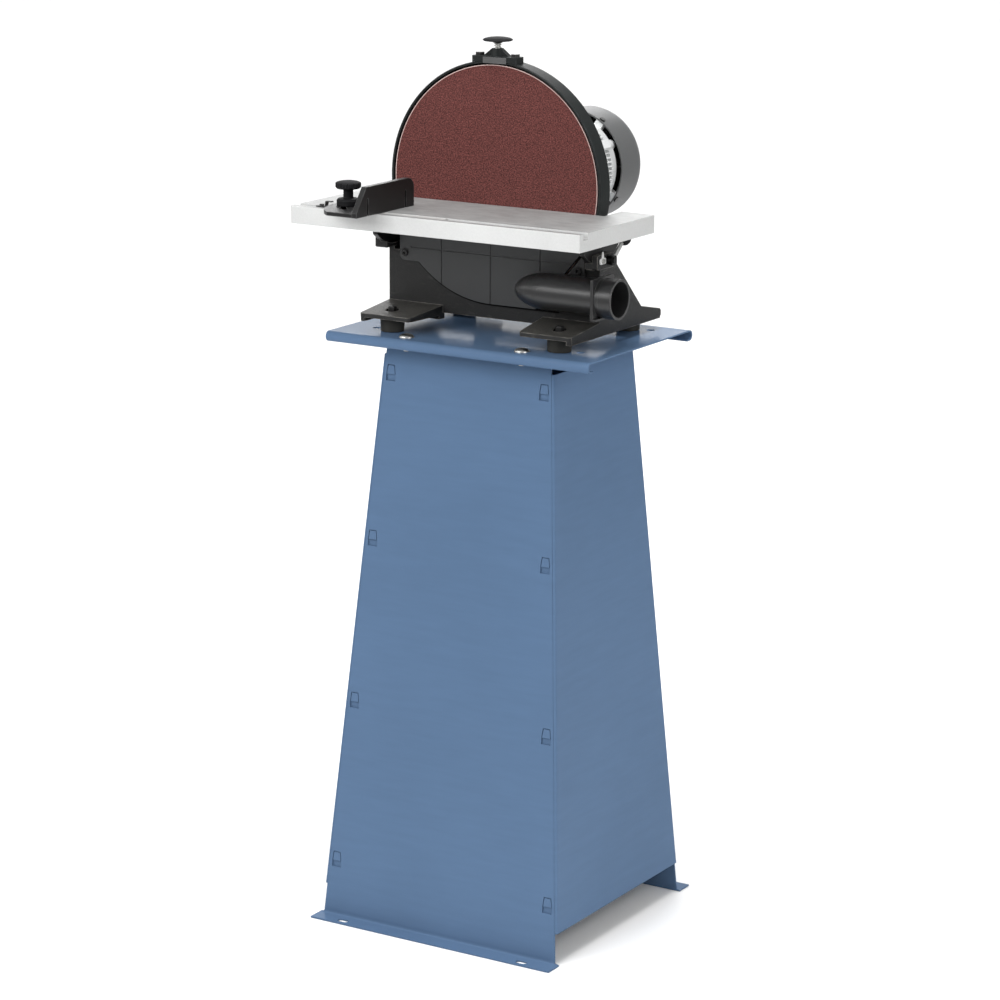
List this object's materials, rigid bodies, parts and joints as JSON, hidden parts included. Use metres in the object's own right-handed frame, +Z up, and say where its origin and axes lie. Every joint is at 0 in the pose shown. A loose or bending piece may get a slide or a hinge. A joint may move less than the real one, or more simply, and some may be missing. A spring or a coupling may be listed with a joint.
{
  "type": "benchtop disc sander on a stand",
  "caption": "Disc sander with tilting table, mitre gauge, finned motor, push brake and dust port, bolted to a tall tapered stand of folded sheet metal.",
  "frame": {"origin": "floor level, centre of the stand's four foot slots", "axes": "+X to the operator's right as they face the disc, +Y back along the disc axis towards the motor, +Z up"},
  "size_m": [0.43, 0.4615, 1.1786],
  "materials": {
    "stand_paint": "satin",
    "zinc_steel": "satin",
    "black_steel": "satin",
    "black_casting": "rough paint",
    "foot_rubber": "matte",
    "guard_paint": "satin",
    "cover_plastic": "matte",
    "port_plastic": "matte",
    "disc_metal": "machined",
    "abrasive_grit": "gritty",
    "table_iron": "ground",
    "motor_alloy": "cast",
    "core_steel": "laminated",
    "copper_winding": "satin",
    "bearing_steel": "polished",
    "cowl_plastic": "satin",
    "fan_plastic": "matte",
    "ball_plastic": "gloss",
    "switch_plastic": "matte",
    "start_green": "gloss",
    "stop_red": "gloss",
    "plate_alloy": "satin",
    "brake_lining": "matte",
    "gauge_paint": "satin"
  },
  "bodies": {
    "stand": {"stand_front_panel": "stand_paint", "stand_rear_panel": "stand_paint", "stand_left_panel": "stand_paint", "stand_right_panel": "stand_paint", "stand_top_plate": "stand_paint", "plate_bolts": "zinc_steel", "plate_nuts": "zinc_steel", "base_casting": "black_casting", "rubber_feet": "foot_rubber", "machine_bolts": "black_steel", "machine_nuts": "zinc_steel", "disc_housing": "guard_paint", "housing_screws": "black_steel", "lower_cover": "cover_plastic", "dust_port": "port_plastic", "cover_screws": "black_steel", "tilt_pointer": "zinc_steel", "pointer_screw": "zinc_steel", "motor_front_bell": "motor_alloy", "motor_body": "motor_alloy", "motor_rear_bell": "motor_alloy", "motor_stator": "copper_winding", "front_bearing": "bearing_steel", "rear_bearing": "bearing_steel", "fan_cover": "cowl_plastic", "cowl_screws": "black_steel", "motor_through_bolts": "zinc_steel", "switch_box": "switch_plastic", "switch_bezel": "switch_plastic", "switch_screws": "zinc_steel", "cord_gland": "port_plastic", "brake_bracket": "guard_paint", "brake_bolts": "black_steel", "label_plate": "plate_alloy"},
    "disc_spindle": {"disc_plate": "disc_metal", "abrasive_disc": "abrasive_grit", "disc_set_screw": "black_steel", "motor_shaft": "bearing_steel", "motor_rotor": "core_steel", "cooling_fan": "fan_plastic"},
    "tilting_table": {"table": "table_iron", "left_trunnion": "gauge_paint", "right_trunnion": "gauge_paint", "trunnion_bolts": "black_steel"},
    "left_lever": {"left_lock_lever": "zinc_steel", "left_lever_ball": "ball_plastic"},
    "right_lever": {"right_lock_lever": "zinc_steel", "right_lever_ball": "ball_plastic"},
    "gauge_slider": {"gauge_bar": "zinc_steel", "gauge_pointer": "gauge_paint", "gauge_pivot_pin": "zinc_steel", "gauge_clamp_stud": "zinc_steel"},
    "gauge_fence": {"gauge_head": "gauge_paint"},
    "gauge_knob": {"gauge_clamp_knob": "ball_plastic"},
    "brake_plunger": {"brake_cap": "ball_plastic", "brake_stem": "zinc_steel", "brake_pad": "brake_lining", "brake_spring": "zinc_steel"},
    "start_push": {"start_button": "start_green"},
    "stop_push": {"stop_button": "stop_red"}
  },
  "joints": [
    {"name": "disc_spin", "type": "hinge", "parent": "stand", "child": "disc_spindle", "pos_m": [0, -0.02, 0.9905], "axis": [0, -1, 0], "continuous": true},
    {"name": "table_tilt", "type": "hinge", "parent": "stand", "child": "tilting_table", "pos_m": [0, -0.031, 0.963], "axis": [1, 0, 0], "range_deg": [0, 45]},
    {"name": "left_lock", "type": "hinge", "parent": "stand", "child": "left_lever", "pos_m": [-0.1743, -0.0256, 0.9065], "axis": [1, 0, 0], "range_deg": [-75, 0]},
    {"name": "right_lock", "type": "hinge", "parent": "stand", "child": "right_lever", "pos_m": [0.1743, -0.0256, 0.9065], "axis": [1, 0, 0], "range_deg": [-75, 0]},
    {"name": "gauge_slide", "type": "slide", "parent": "tilting_table", "child": "gauge_slider", "axis": [1, 0, 0], "range_m": [-0.06, 0.19]},
    {"name": "gauge_swing", "type": "hinge", "parent": "gauge_slider", "child": "gauge_fence", "pos_m": [-0.099, -0.164, 0.963], "axis": [0, 0, 1], "range_deg": [-45, 45]},
    {"name": "gauge_knob_turn", "type": "hinge", "parent": "gauge_slider", "child": "gauge_knob", "pos_m": [-0.136, -0.164, 0.973], "axis": [0, 0, 1], "continuous": true},
    {"name": "brake_push", "type": "slide", "parent": "stand", "child": "brake_plunger", "axis": [0, 0, -1], "range_m": [0, 0.0033], "stiffness_N_per_m": 900, "springref_m": -0.001, "deforming": ["brake_spring"]},
    {"name": "start_press", "type": "slide", "parent": "stand", "child": "start_push", "axis": [1, 0, 0], "range_m": [0, 0.003], "stiffness_N_per_m": 500, "springref_m": -0.001},
    {"name": "stop_press", "type": "slide", "parent": "stand", "child": "stop_push", "axis": [1, 0, 0], "range_m": [0, 0.004], "stiffness_N_per_m": 500, "springref_m": -0.001}
  ]
}
